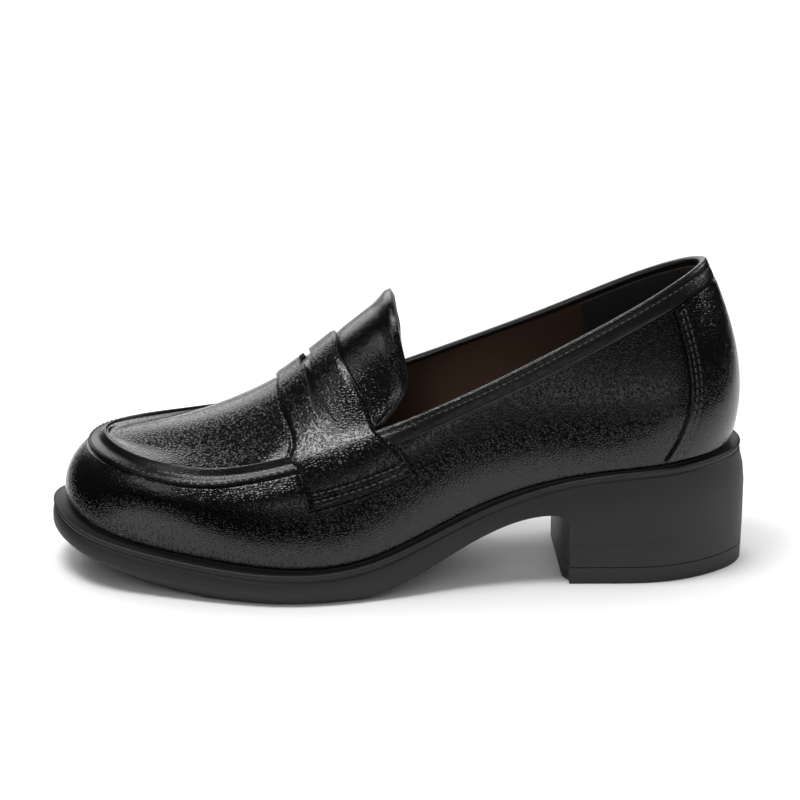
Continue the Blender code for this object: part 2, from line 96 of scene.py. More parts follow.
# Sewing: levels of the two long rows, and how far the others run from their piece's edge
BORDER_ROW_LEVEL = 2.17
COLLAR_ROW_LEVEL = 2.66
COUNTER_ROWS = (1.9 * MM, 3.4 * MM)
FOOT_ROWS = (1.6 * MM, 3.9 * MM)
TONGUE_ROW = 2.6 * MM
# Length of the counter panel round the heel, and the way up one level beside the strap's foot
COUNTER_LENGTH = 62 * MM
FOOT_LEVEL_STEP = 18 * MM
HEEL_GRIP_STATION = 0.80

# Lines of the last: station, centre, half width (shares of half BALL_WIDTH) and height
FEATHER_ENDS = (0.0, 0.993)
FEATHER = (
    (0.00, 0.163, 0.000, 0.558),
    (0.03, 0.128, 0.510, 0.490),
    (0.10, 0.070, 0.744, 0.410),
    (0.20, 0.000, 0.890, 0.337),
    (0.32, -0.065, 1.000, 0.295),
    (0.45, -0.070, 0.926, 0.345),
    (0.60, -0.070, 0.700, 0.632),
    (0.75, -0.042, 0.684, 0.878),
    (0.88, -0.023, 0.709, 0.962),
    (0.97, 0.000, 0.465, 0.994),
    (1.00, 0.000, 0.000, 1.000),
)
BELLY_ENDS = (0.005, 1.004)
BELLY = (
    (0.00, 0.150, 0.000, 0.132),
    (0.03, 0.116, 0.523, 0.158),
    (0.10, 0.070, 0.786, 0.178),
    (0.20, -0.010, 0.949, 0.202),
    (0.32, -0.060, 1.030, 0.240),
    (0.45, -0.053, 0.960, 0.288),
    (0.60, -0.042, 0.790, 0.279),
    (0.75, -0.028, 0.728, 0.276),
    (0.88, -0.012, 0.720, 0.299),
    (0.97, 0.000, 0.465, 0.291),
    (1.00, 0.000, 0.000, 0.287),
)
SHOULDER_ENDS = (0.037, 0.964)
SHOULDER = (
    (0.00, 0.105, 0.000, 0.295),
    (0.03, 0.081, 0.465, 0.340),
    (0.10, 0.035, 0.780, 0.374),
    (0.20, -0.012, 0.919, 0.416),
    (0.32, -0.023, 0.919, 0.519),
    (0.45, -0.020, 0.884, 0.588),
    (0.60, -0.010, 0.772, 0.558),
    (0.75, 0.000, 0.642, 0.594),
    (0.88, 0.000, 0.512, 0.749),
    (0.97, 0.000, 0.284, 0.859),
    (1.00, 0.000, 0.000, 0.888),
)
EDGE_ENDS = (0.066, 0.951)
EDGE = (
    (0.00, 0.058, 0.000, 0.355),
    (0.03, 0.035, 0.400, 0.383),
    (0.10, 0.000, 0.680, 0.426),
    (0.20, 0.007, 0.845, 0.488),
    (0.32, 0.000, 0.850, 0.600),
    (0.45, 0.000, 0.800, 0.691),
    (0.60, 0.000, 0.730, 0.667),
    (0.75, 0.000, 0.588, 0.702),
    (0.88, 0.000, 0.447, 0.845),
    (0.97, 0.000, 0.223, 0.963),
    (1.00, 0.000, 0.000, 1.000),
)
# Crown: station, rise of the ridge as a share of CROWN_RISE, fullness of the arch
CROWN = (
    (0.00, 0.000, 1.00),
    (0.03, 0.075, 1.00),
    (0.10, 0.180, 1.00),
    (0.20, 0.315, 1.10),
    (0.32, 0.525, 1.25),
    (0.45, 0.885, 1.40),
    (0.60, 1.150, 1.40),
    (0.75, 0.800, 1.30),
    (0.88, 0.500, 1.20),
    (0.97, 0.200, 1.10),
    (1.00, 0.000, 1.00),
)
# Sole: station, how far rim, band and foot stand out, lift as a share of TOE_SPRING
SOLE = (
    (0.00, 0.105, 0.112, 0.023, 1.00),
    (0.03, 0.093, 0.098, 0.000, 0.74),
    (0.10, 0.081, 0.084, -0.030, 0.34),
    (0.20, 0.070, 0.074, 0.000, 0.03),
    (0.32, 0.060, 0.067, 0.028, 0.00),
    (0.45, 0.047, 0.051, 0.012, 0.00),
    (0.60, 0.030, 0.035, -0.010, 0.00),
    (0.75, 0.023, 0.042, -0.030, 0.00),
    (0.88, 0.023, 0.050, -0.030, 0.00),
    (0.97, 0.060, 0.080, 0.020, 0.00),
    (1.00, 0.110, 0.150, 0.135, 0.00),
)
# Levels up the upper: feather 0, belly 1, shoulder 2, edge 3 and ridge 4
SHOULDER_LEVEL, EDGE_LEVEL, RIDGE_LEVEL = 2, 3, 4
LEVEL_GIRTH = (0.00, 0.14, 0.33, 0.42, 1.00)
# Saddle strap: level, stations of its front and rear edges
STRAP = (
    (1.00, 0.363, 0.518),
    (2.00, 0.334, 0.480),
    (3.00, 0.303, 0.443),
    (3.20, 0.288, 0.413),
    (3.40, 0.279, 0.393),
    (3.65, 0.278, 0.383),
    (4.00, 0.288, 0.390),
)
STRAP_FOOT = (1.28, 1.37)
# Penny slot: level, front and rear lips as shares of the strap's width; first row the tip
SLOT = (
    (3.20, 0.583, 0.583),
    (3.25, 0.442, 0.574),
    (3.33, 0.400, 0.553),
    (3.45, 0.393, 0.545),
    (3.60, 0.443, 0.538),
    (3.80, 0.487, 0.571),
    (4.00, 0.460, 0.589),
)
THROAT_STATION = 0.310
TONGUE_SEAM = 0.03
TONGUE_REAR = (
    (3.00, 0.443),
    (3.10, 0.467),
    (3.20, 0.480),
    (3.30, 0.478),
    (3.50, 0.473),
    (3.75, 0.475),
    (4.00, 0.477),
)
COUNTER_FRONT = (
    (0.04, 0.887),
    (1.00, 0.913),
    (1.96, 0.928),
)


def columns(table):
    """The columns of a table, as arrays."""
    return np.array(table, dtype=float).T


def loop_angle(station):
    """Angle round a line: 0 at the toe, half a turn at the heel."""
    return np.arccos(1 - 2 * np.asarray(station))


def signed(angle):
    """The same angle between minus half a turn and half a turn."""
    return (angle + np.pi) % TURN - np.pi


def smooth(low, high, value):
    """Smooth step: 0 below low, 1 above high, 3t^2 - 2t^3 between."""
    t = np.clip((value - low) / (high - low), 0, 1)
    return t * t * (3 - 2 * t)


def bump(value, centre, width):
    """Bell of height 1: exp(-((value - centre) / width)^2)."""
    return np.exp(-(((value - centre) / width) ** 2))


def loop_spline(station, values, odd):
    """Closed cubic with continuous curvature through values given from toe to heel.

    The other side of the shoe mirrors them, with the sign changed if odd.
    """
    angle = loop_angle(station)
    mirror = -values if odd else values
    knots = np.concatenate([-angle[-2:0:-1], angle])
    points = np.concatenate([mirror[-2:0:-1], values])
    count = len(knots)
    step = np.diff(np.append(knots, knots[0] + TURN))
    slope = (np.roll(points, -1) - points) / step
    here = np.arange(count)
    matrix = np.zeros((count, count))
    matrix[here, here] = 2 * (step + np.roll(step, 1))
    matrix[here, here - 1] = np.roll(step, 1)
    matrix[here, (here + 1) % count] += step
    bend = np.linalg.solve(matrix, 6 * (slope - np.roll(slope, 1)))

    def curve(at):
        at = (at - knots[0]) % TURN + knots[0]
        low = np.searchsorted(knots, at, side="right") - 1
        high = (low + 1) % count
        width = step[low]
        before = at - knots[low]
        after = width - before
        cubic = bend[low] * after**3 + bend[high] * before**3
        line_low = points[low] / width - bend[low] * width / 6
        line_high = points[high] / width - bend[high] * width / 6
        return cubic / (6 * width) + line_low * after + line_high * before

    return curve


class Line:
    """A line round the last, read as points at angles round the shoe."""

    def __init__(self, table, ends, feather=None):
        station, centre, half_width, height = columns(table)
        self.toe = FEATHER_TOE + ends[0] * UPPER_LENGTH
        self.length = (ends[1] - ends[0]) * UPPER_LENGTH
        self.centre = loop_spline(station, centre * BALL_WIDTH / 2, odd=False)
        self.half = loop_spline(station, half_width * BALL_WIDTH / 2, odd=True)
        self.rise = loop_spline(station, height, odd=False)
        self.feather = feather

    def __call__(self, angle):
        x = self.toe + self.length * (1 - np.cos(angle)) / 2
        y = self.centre(angle) - self.half(angle)
        if self.feather is None:
            z = self.rise(angle) * SEAT_HEIGHT
        else:
            z = self.feather.rise(angle) * SEAT_HEIGHT + self.rise(angle) * BACK_RISE
        return np.stack([x, y, z], axis=-1)


feather_line = Line(FEATHER, FEATHER_ENDS)
belly_line = Line(BELLY, BELLY_ENDS, feather_line)
shoulder_line = Line(SHOULDER, SHOULDER_ENDS, feather_line)
edge_line = Line(EDGE, EDGE_ENDS, feather_line)
crown_station, crown_rise, crown_fullness = columns(CROWN)
ridge_rise = loop_spline(crown_station, crown_rise * CROWN_RISE, odd=False)
ridge_fullness = loop_spline(crown_station, crown_fullness, odd=False)


def length_of(vectors):
    return np.linalg.norm(vectors, axis=-1, keepdims=True)


def unit(vectors):
    return vectors / np.maximum(length_of(vectors), 1e-12)


def wall(angle, level):
    """Side of the upper: at each angle one cubic rib through the four lines."""
    ribs = [line(angle) for line in (feather_line, belly_line, shoulder_line, edge_line)]
    steps = [length_of(ribs[k + 1] - ribs[k])[..., 0] for k in range(3)]
    total = steps[0] + steps[1] + steps[2]
    knots = [np.zeros_like(total), steps[0] / total, (steps[0] + steps[1]) / total, np.ones_like(total)]
    low = np.clip(np.floor(level), 0, 2).astype(int)
    start = np.choose(low, knots[:3])
    share = start + (np.choose(low, knots[1:]) - start) * (level - low)
    point = 0
    for k in range(4):
        weight = np.ones_like(share)
        for other in range(4):
            if other != k:
                weight = weight * (share - knots[other]) / (knots[k] - knots[other])
        point = point + weight[..., None] * ribs[k]
    return point


def crown(angle, share):
    """Top of the last: a cubic from the edge line, share 0, over to the ridge, share 1."""
    small = 0.02
    edge = edge_line(angle)
    lateral = np.where(angle >= 0, 1.0, -1.0)
    ridge = np.stack([edge[..., 0], edge_line.centre(angle), edge[..., 2] + ridge_rise(angle)], axis=-1)
    leave = unit(edge - wall(angle, np.full_like(angle, EDGE_LEVEL - small)))
    arrive = np.stack([0 * lateral, lateral, 0 * lateral], axis=-1)
    reach = length_of(ridge - edge) * ridge_fullness(angle)[..., None]
    t = share[..., None]
    return (
        (2 * t**3 - 3 * t**2 + 1) * edge
        + (t**3 - 2 * t**2 + t) * reach * leave
        + (3 * t**2 - 2 * t**3) * ridge
        + (t**3 - t**2) * reach * arrive
    )


def skin(angle, level):
    """Outside of the last at any angle and level."""
    angle, level = np.broadcast_arrays(np.asarray(angle, float), np.asarray(level, float))
    side = wall(angle, np.minimum(level, EDGE_LEVEL))
    top = crown(signed(angle), np.clip(level - EDGE_LEVEL, 0, 1))
    return np.where((level > EDGE_LEVEL)[..., None], top, side)


def local_axes(angle, level):
    """Unit vectors at a place on the last: out of it, and up towards the edge."""
    small = 2e-3
    angle, level = np.broadcast_arrays(np.asarray(angle, float), np.asarray(level, float))
    round_it = skin(angle + small, level) - skin(angle - small, level)
    up = skin(angle, level + small) - skin(angle, level - small)
    return unit(np.cross(round_it, up)), unit(up)


def lifted(angle, level, out, along=0.0):
    """The last's surface moved out of itself and up along itself."""
    normal, up = local_axes(angle, level)
    out = np.asarray(out) + 0 * normal[..., 0]
    along = np.asarray(along) + 0 * normal[..., 0]
    return skin(angle, level) + normal * out[..., None] + up * along[..., None]


def girth(level):
    """Share of the way round the instep at a level."""
    return np.interp(level, range(len(LEVEL_GIRTH)), LEVEL_GIRTH)


def hermite(keys, values, at):
    """Cubic pieces through the values, with finite-difference slopes."""
    slope = np.gradient(values, keys)
    low = np.clip(np.searchsorted(keys, at, side="right") - 1, 0, len(keys) - 2)
    width = keys[low + 1] - keys[low]
    t = (at - keys[low]) / width
    start, end = values[low], values[low + 1]
    leave, arrive = slope[low] * width, slope[low + 1] * width
    swing = (t**3 - 2 * t**2 + t) * leave + (t**3 - t**2) * arrive
    return start + (3 * t**2 - 2 * t**3) * (end - start) + swing


def table_curve(table, level):
    """Columns of a table of levels at the given levels, smooth round the girth."""
    keys, *values = columns(table)
    return [hermite(girth(keys), value, girth(level)) for value in values]


def strap_front(level):
    return table_curve(STRAP, level)[0]


def strap_rear(level):
    return table_curve(STRAP, level)[1]


def tongue_rear(level):
    return table_curve(TONGUE_REAR, level)[0]


def strap_foot(share):
    """Level of the strap's foot at a share of the way from its front to its rear edge."""
    return STRAP_FOOT[0] + (STRAP_FOOT[1] - STRAP_FOOT[0]) * share


def beside(loop, distance):
    """A loop moved outwards in plan by a distance."""
    along = np.roll(loop, -1, axis=0) - np.roll(loop, 1, axis=0)
    out = unit(np.stack([along[:, 1], -along[:, 0]], axis=-1))
    moved = loop.copy()
    moved[:, :2] += out * np.broadcast_to(distance, len(loop))[:, None]
    return moved


def raised(loop, height):
    moved = loop.copy()
    moved[:, 2] = height
    return moved


# Meshes

def grid_faces(rows, cols, closed=False, ring=False):
    """Quads of a grid of rows x cols; closed joins its last row to its first, ring its columns."""
    row, col = np.meshgrid(
        np.arange(rows if closed else rows - 1), np.arange(cols if ring else cols - 1), indexing="ij"
    )
    row_next, col_next = (row + 1) % rows, (col + 1) % cols
    here, ahead = row * cols, row_next * cols
    corners = [here + col, ahead + col, ahead + col_next, here + col_next]
    return np.stack(corners, axis=-1).reshape(-1, 4)


def piece(name, grids, finishes, node=None, sharp=40, caps=()):
    """A shown object from grids of points: (points, faces) pairs joined and welded."""
    points, faces = [], []
    start = 0
    for grid_points, quads in grids:
        flat = grid_points.reshape(-1, 3)
        points.append(flat)
        faces.append(quads + start)
        start += len(flat)
    points = np.concatenate(points) + SHIFT
    faces = np.concatenate(faces)
    mesh = bpy.data.meshes.new(name)
    mesh.from_pydata(points.tolist(), [], faces.tolist() + list(caps))
    work = bmesh.new()
    work.from_mesh(mesh)
    bmesh.ops.remove_doubles(work, verts=work.verts, dist=2e-6)
    bmesh.ops.dissolve_degenerate(work, edges=work.edges, dist=1e-6)
    work.to_mesh(mesh)
    work.free()
    mesh.shade_smooth()
    mesh.set_sharp_from_angle(angle=np.radians(sharp))
    made = bpy.data.objects.new(name, mesh)
    bpy.context.scene.collection.objects.link(made)
    for finish in finishes:
        mesh.materials.append(finish)
    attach(made, "root")
    if node:
        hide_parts(node)
    return made


def thicken(made, thickness, inside=0, rim=0):
    """Gives an open surface its thickness inwards, with its own finish inside and on its edge."""
    solid = made.modifiers.new("Thickness", "SOLIDIFY")
    solid.thickness = thickness
    solid.offset = -1
    solid.material_offset = inside
    solid.material_offset_rim = rim


def soften(made, width, segments):
    """Rounds an object's sharp edges."""
    bevel = made.modifiers.new("Edges", "BEVEL")
    bevel.width = width
    bevel.segments = segments
    bevel.limit_method = "ANGLE"
    bevel.angle_limit = np.radians(50)


def strip(name, sections, finishes, node=None, sharp=60):
    """Closed profile carried along a path: sections x profile points, capped at both ends."""
    rows, cols = sections.shape[:2]
    first = list(range(cols))
    last = [(rows - 1) * cols + k for k in reversed(range(cols))]
    grids = [(sections, grid_faces(rows, cols, ring=True))]
    return piece(name, grids, finishes, node, sharp, (first, last))


def stitches(name, rows, finish, pitch=2.5 * MM, length=1.9 * MM, radius=0.32 * MM):
    """Thread along paths: each stitch is a small ellipsoid sunk by half into the leather.

    rows are pairs of arrays: points along a path, and the way out of the leather there.
    """
    sides, rings = 8, 6
    around = np.linspace(0, TURN, sides, endpoint=False)[:, None]
    steps = np.linspace(0, np.pi, rings) + 0 * around
    wide = np.sin(steps)
    ball = np.stack([-np.cos(steps), wide * np.cos(around), wide * np.sin(around)], axis=-1)
    grids = []
    for path, outs in rows:
        run = np.concatenate([[0], np.cumsum(length_of(np.diff(path, axis=0))[:, 0])])
        count = max(int(run[-1] / pitch), 1)
        at = (np.arange(count) + 0.5) * run[-1] / count
        centre = np.stack([np.interp(at, run, path[:, k]) for k in range(3)], axis=-1)
        ahead = np.stack([np.interp(at + 0.3 * MM, run, path[:, k]) for k in range(3)], axis=-1)
        back = np.stack([np.interp(at - 0.3 * MM, run, path[:, k]) for k in range(3)], axis=-1)
        out = unit(np.stack([np.interp(at, run, outs[:, k]) for k in range(3)], axis=-1))
        along = unit(ahead - back)
        side = np.cross(along, out)
        shape = (
            ball[None, ..., 0:1] * along[:, None, None] * length / 2
            + ball[None, ..., 1:2] * side[:, None, None] * radius
            + ball[None, ..., 2:3] * out[:, None, None] * radius * 0.8
        )
        shape = shape + centre[:, None, None]
        quads = grid_faces(sides, rings, closed=True)
        every = (quads[None] + np.arange(count)[:, None, None] * sides * rings).reshape(-1, 4)
        grids.append((shape.reshape(-1, 3), every))
    return piece(name, grids, [finish], sharp=180)


# Materials

def new_material(name, colour, roughness, specular=0.5, sheen=0.0):
    made = bpy.data.materials.new(name)
    made.use_nodes = True
    shader = made.node_tree.nodes["Principled BSDF"]
    shader.inputs["Base Color"].default_value = (*colour, 1)
    shader.inputs["Roughness"].default_value = roughness
    shader.inputs["Specular IOR Level"].default_value = specular
    shader.inputs["Sheen Weight"].default_value = sheen
    return made, made.node_tree, shader


def add_node(tree, kind, operation=None, **inputs):
    node = tree.nodes.new(kind)
    if operation:
        node.operation = operation
    for key, value in inputs.items():
        node.inputs[key.replace("_", " ")].default_value = value
    return node


def grain(tree, shader, cell, cell_depth, fine, fine_depth):
    """Pebbled grain: smooth raised cells with creases between them, and fine pores."""
    place = tree.nodes.new("ShaderNodeTexCoord").outputs["Object"]
    warp = add_node(tree, "ShaderNodeTexNoise", Scale=0.35 / cell, Detail=2.0)
    tree.links.new(place, warp.inputs["Vector"])
    shift = add_node(tree, "ShaderNodeVectorMath", "SCALE", Scale=cell * 0.9)
    tree.links.new(warp.outputs["Color"], shift.inputs[0])
    moved = add_node(tree, "ShaderNodeVectorMath", "ADD")
    tree.links.new(place, moved.inputs[0])
    tree.links.new(shift.outputs[0], moved.inputs[1])
    cells = tree.nodes.new("ShaderNodeTexVoronoi")
    cells.feature = "DISTANCE_TO_EDGE"
    cells.inputs["Scale"].default_value = 1 / cell
    stretch = add_node(tree, "ShaderNodeVectorMath", "MULTIPLY")
    stretch.inputs[1].default_value = (0.72, 1.0, 1.12)
    tree.links.new(moved.outputs[0], stretch.inputs[0])
    tree.links.new(stretch.outputs[0], cells.inputs["Vector"])
    crease = add_node(tree, "ShaderNodeMapRange")
    crease.interpolation_type = "SMOOTHERSTEP"
    crease.inputs["From Max"].default_value = 0.46
    tree.links.new(cells.outputs["Distance"], crease.inputs["Value"])
    pores = add_node(tree, "ShaderNodeTexNoise", Scale=1 / fine, Detail=3.0, Roughness=0.6)
    tree.links.new(place, pores.inputs["Vector"])
    coarse_bump = add_node(tree, "ShaderNodeBump", Strength=1.0, Distance=cell_depth)
    fine_bump = add_node(tree, "ShaderNodeBump", Strength=1.0, Distance=fine_depth)
    tree.links.new(crease.outputs["Result"], coarse_bump.inputs["Height"])
    tree.links.new(pores.outputs[0], fine_bump.inputs["Height"])
    tree.links.new(coarse_bump.outputs["Normal"], fine_bump.inputs["Normal"])
    tree.links.new(fine_bump.outputs["Normal"], shader.inputs["Normal"])
    return place


def patchy_roughness(tree, shader, place, low, high, size):
    """Roughness that drifts between two values over patches of a size."""
    patch = add_node(tree, "ShaderNodeTexNoise", Scale=1 / size, Detail=3.0)
    tree.links.new(place, patch.inputs["Vector"])
    span = add_node(tree, "ShaderNodeMapRange", To_Min=low, To_Max=high)
    tree.links.new(patch.outputs[0], span.inputs["Value"])
    tree.links.new(span.outputs["Result"], shader.inputs["Roughness"])


def make_leather():
    made, tree, shader = new_material("black_leather", (0.0012, 0.0012, 0.0015), 0.18, 0.5)
    place = grain(tree, shader, 0.92 * MM, 0.066 * MM, 0.30 * MM, 0.004 * MM)
    patchy_roughness(tree, shader, place, 0.17, 0.24, 9 * MM)
    return made


def make_smooth_leather(name, low, high):
    made, tree, shader = new_material(name, (0.0012, 0.0012, 0.0015), low, 0.5)
    place = grain(tree, shader, 0.86 * MM, 0.045 * MM, 0.25 * MM, 0.004 * MM)
    patchy_roughness(tree, shader, place, low, high, 6 * MM)
    return made


def make_lining():
    made, tree, shader = new_material("brown_lining", (0.052, 0.029, 0.018), 0.62, 0.35)
    place = grain(tree, shader, 0.7 * MM, 0.03 * MM, 0.25 * MM, 0.02 * MM)
    patchy_roughness(tree, shader, place, 0.55, 0.72, 12 * MM)
    return made


def make_suede():
    made, tree, shader = new_material("black_heel_grip", (0.010, 0.009, 0.009), 0.85, 0.2, sheen=0.25)
    grain(tree, shader, 0.5 * MM, 0.03 * MM, 0.15 * MM, 0.03 * MM)
    return made


def make_rubber():
    made, tree, shader = new_material("black_rubber", (0.0130, 0.0130, 0.0145), 0.52, 0.42)
    place = grain(tree, shader, 0.45 * MM, 0.006 * MM, 0.18 * MM, 0.010 * MM)
    patchy_roughness(tree, shader, place, 0.50, 0.62, 14 * MM)
    return made


def make_cut_edge():
    made, tree, shader = new_material("painted_edge", (0.030, 0.032, 0.036), 0.36, 0.5)
    grain(tree, shader, 0.4 * MM, 0.01 * MM, 0.15 * MM, 0.01 * MM)
    return made


def make_thread():
    made, tree, shader = new_material("black_thread", (0.022, 0.022, 0.024), 0.40, 0.5, sheen=0.1)
    grain(tree, shader, 0.25 * MM, 0.02 * MM, 0.1 * MM, 0.01 * MM)
    return made


leather = make_leather()
edge_leather = make_smooth_leather("black_edge_leather", 0.27, 0.35)
tongue_leather = make_smooth_leather("black_tongue_leather", 0.18, 0.24)
lining = make_lining()
suede = make_suede()
rubber = make_rubber()
cut_edge = make_cut_edge()
thread = make_thread()


# Pieces

def strap_trough(angle, level):
    """Trough along the strap's edges, as a lift below 0: a bell centred 0.5 mm outside them.

    It loses 70% of its depth towards the ridge.
    """
    station = (1 - np.cos(angle)) / 2
    front, rear = strap_front(level), strap_rear(level)
    width = rear - front
    across = np.maximum(front - station, station - rear) * UPPER_LENGTH
    foot = strap_foot(np.clip((station - front) / width, 0, 1))
    distance = np.maximum(across, (foot - level) * FOOT_LEVEL_STEP)
    depth = STRAP_TROUGH * (1 - 0.7 * smooth(3.3, 3.9, level))
    return -depth * bump(distance, 0.5 * MM, 0.6 * MM)


def ridge_lift(angle, level):
    """How far the strap's rails and the root of the tongue stand up over the ridge.

    It grows with the level, and along the shoe it rises over the strap and falls to the tongue's end.
    """
    station = (1 - np.cos(angle)) / 2
    front, rear, end = strap_front(level), strap_rear(level), tongue_rear(level)
    width = rear - front
    rise = smooth(0, 1, (station - front + 0.1 * width) / (0.85 * width))
    fall = 1 - smooth(0, 1, (station - rear) / (end - rear))
    return RIDGE_RISE * smooth(3.0, 3.85, level) * rise * fall


def half_angles():
    """Angles from toe to heel for the upper's columns, about three times as close by the strap."""
    fine = np.linspace(0, np.pi, 4000)
    station = (1 - np.cos(fine)) / 2
    density = 1 + 2.2 * smooth(0.25, 0.27, station) * (1 - smooth(0.53, 0.55, station))
    run = np.concatenate([[0], np.cumsum(density[1:])])
    return np.interp(np.linspace(0, run[-1], 271), run, fine)


def edge_lift(angle):
    """How far the plug's edge is pulled up by its seam, from the toe to the strap."""
    return EDGE_PULL * (1 - smooth(0.25, 0.30, (1 - np.cos(angle)) / 2))


def make_upper():
    """Upper: the wall all round, tucked in under its feather, and the plug to the throat.

    Both are the last's surface moved out of itself by a roll less the troughs. The roll grows
    from the feather and falls away to the apron's seam.
    """
    half = half_angles()
    angle = np.concatenate([half, -half[-2:0:-1]])
    level = np.concatenate([
        [-0.12, -0.06],
        np.linspace(0, 1.16, 20),
        np.linspace(1.19, 1.45, 13),
        np.linspace(1.49, 1.86, 9),
        np.linspace(1.88, 2.02, 9),
        np.linspace(2.06, 3, 19),
    ])
    tuck = np.zeros(len(level))
    tuck[:2] = -0.9 * MM, -0.25 * MM
    seam = -SEAM_TROUGH * bump(level, 1.975, 0.035) * (np.abs(angle[:, None]) < loop_angle(0.36))
    trough = strap_trough(angle[:, None], np.maximum(level, 0)[None, :]) * (level > 0.5)
    station = (1 - np.cos(angle)) / 2
    fade = smooth(0.02, 0.16, station) * (1 - smooth(0.30, 0.42, station))
    roll = VAMP_ROLL * smooth(0.1, 1.45, level) * (1 - smooth(1.50, 1.96, level)) * fade[:, None]
    out = tuck[None, :] + seam + trough + roll
    ring = lifted(angle[:, None], np.minimum(level, 2.999)[None, :], out)
    ring[:, -1] = edge_line(angle)
    ring[..., 2] += edge_lift(angle)[:, None] * smooth(2.6, 3.0, level)
    last = loop_angle(THROAT_STATION)
    plug_angle = np.append(half[half < last - 1e-3], last)
    share = np.linspace(0, 1, 31)
    halves = []
    for side in (1, -1):
        around = side * plug_angle[:, None]
        trough = strap_trough(around, EDGE_LEVEL + share) * smooth(0, 0.1, share)
        half_plug = lifted(around, EDGE_LEVEL + share, trough)
        half_plug[:, 0] = edge_line(side * plug_angle)
        half_plug[..., 2] += edge_lift(plug_angle)[:, None] * (1 - smooth(0, 0.5, share))
        halves.append(half_plug)
    plug = np.concatenate([halves[0], halves[1][:, -2::-1]], axis=1)
    grids = [(ring, grid_faces(*ring.shape[:2], closed=True)), (plug, grid_faces(*plug.shape[:2]))]
    made = piece("upper_leather", grids, [leather, lining, edge_leather], "upper", sharp=60)
    thicken(made, WALL, inside=1, rim=2)


def over_instep(front, rear, level, rows):
    """Angles and levels over the instep from the lateral side to the medial side."""
    share = np.linspace(0, 1, rows)[:, None]
    level = np.broadcast_to(level, (rows, level.shape[-1]))
    side = np.ones(level.shape[1])
    side = np.concatenate([side, -side[1:]])
    level = np.hstack([level, level[:, -2::-1]])
    station = front(level) * (1 - share) + rear(level) * share
    return loop_angle(station) * side, level


def throat(level):
    return np.full_like(level, THROAT_STATION + 2 * GAP / UPPER_LENGTH)


def make_tongue():
    """Tongue: from the throat up inside the strap to a rounded end, flared and then turned down."""
    level = np.linspace(EDGE_LEVEL + TONGUE_SEAM, RIDGE_LEVEL, 70)
    angle, level = over_instep(throat, tongue_rear, level[None, :], 110)
    from_end = (tongue_rear(level) - (1 - np.cos(angle)) / 2) * UPPER_LENGTH
    flare = TONGUE_FLARE * (1 - smooth(0, 8 * MM, from_end))
    turn = TONGUE_TURN * (1 - smooth(0, 2.4 * MM, from_end))
    grid = lifted(angle, level, strap_trough(angle, level) + ridge_lift(angle, level) + flare - turn)
    made = piece("tongue_leather", [(grid, grid_faces(*angle.shape))],
                 [tongue_leather, suede, cut_edge], "tongue", sharp=60)
    thicken(made, TONGUE_THICKNESS, inside=1, rim=2)
    soften(made, 0.5 * MM, 3)


def slot_lips(level):
    """Stations of the penny slot's front and rear lips; they are one line beyond its tip."""
    front, rear = strap_front(level), strap_rear(level)
    lips = table_curve(SLOT, np.maximum(level, SLOT[0][0]))
    return [front + (rear - front) * lip for lip in lips]


def notch_level():
    """Level where the notch in the slot's front lip starts, from its width over the ridge."""
    ridge_station = (STRAP[-1][1] + STRAP[-1][2]) / 2
    arch = skin(loop_angle(ridge_station), np.linspace(EDGE_LEVEL, RIDGE_LEVEL, 40))
    return RIDGE_LEVEL - NOTCH_WIDTH / 2 / np.sum(length_of(np.diff(arch, axis=0)))


def make_strap():
    """Saddle strap: two rails round the penny slot, one band below its tips."""
    notch = notch_level()
    rows = np.linspace(0, 1, 21)[:, None]
    grids = []
    for rail in (0, 1):
        foot = strap_foot((rail + rows) / 2)
        below = foot + (SLOT[0][0] - foot) * np.linspace(0, 1, 70)[:-1]
        tip = np.linspace(notch, RIDGE_LEVEL, 9)
        above = np.concatenate([np.linspace(SLOT[0][0], notch, 50), [notch + 2e-4], tip[1:]])
        level = np.hstack([below, above + 0 * foot])
        side = np.concatenate([np.ones(level.shape[1]), -np.ones(level.shape[1] - 1)])
        level = np.hstack([level, level[:, -2::-1]])
        front_lip, rear_lip = slot_lips(level)
        front_lip = front_lip - (level > notch + 1e-4) * NOTCH_DEPTH / UPPER_LENGTH
        edges = ((strap_front(level), front_lip), (rear_lip, strap_rear(level)))[rail]
        angle = loop_angle(edges[0] * (1 - rows) + edges[1] * rows) * side
        from_foot = (level - np.minimum(foot, level)) * FOOT_LEVEL_STEP
        station = (1 - np.cos(angle)) / 2
        inside = np.minimum(station - strap_front(level), strap_rear(level) - station) * UPPER_LENGTH
        sunk = 0.5 * MM * (1 - smooth(0, 1.6 * MM, inside))
        for row in FOOT_ROWS:
            sunk = sunk + 0.36 * MM * bump(from_foot, row, 0.6 * MM)
        out = GAP + STRAP_THICKNESS - sunk + ridge_lift(angle, level)
        grids.append((lifted(angle, level, out), grid_faces(*angle.shape)))
    made = piece("saddle_strap_leather", grids, [leather, suede, cut_edge], "saddle_strap", sharp=60)
    thicken(made, STRAP_THICKNESS, inside=1, rim=2)
    soften(made, 0.6 * MM, 4)


BORDER_PROFILE = (
    # share of the way from the seam to the plug, height in mm
    (0.000, 0.02), (0.020, 0.42), (0.050, 0.68), (0.100, 0.80), (0.140, 0.70), (0.165, 0.62),
    (0.190, 0.62), (0.240, 0.58), (0.340, 0.38), (0.460, 0.18), (0.560, 0.14), (0.640, 0.30),
    (0.720, 0.60), (0.800, 0.96), (0.860, 1.28), (0.900, 1.44), (0.930, 1.52), (0.958, 1.52),
    (0.978, 1.36), (0.991, 1.02), (1.000, 0.60),
)


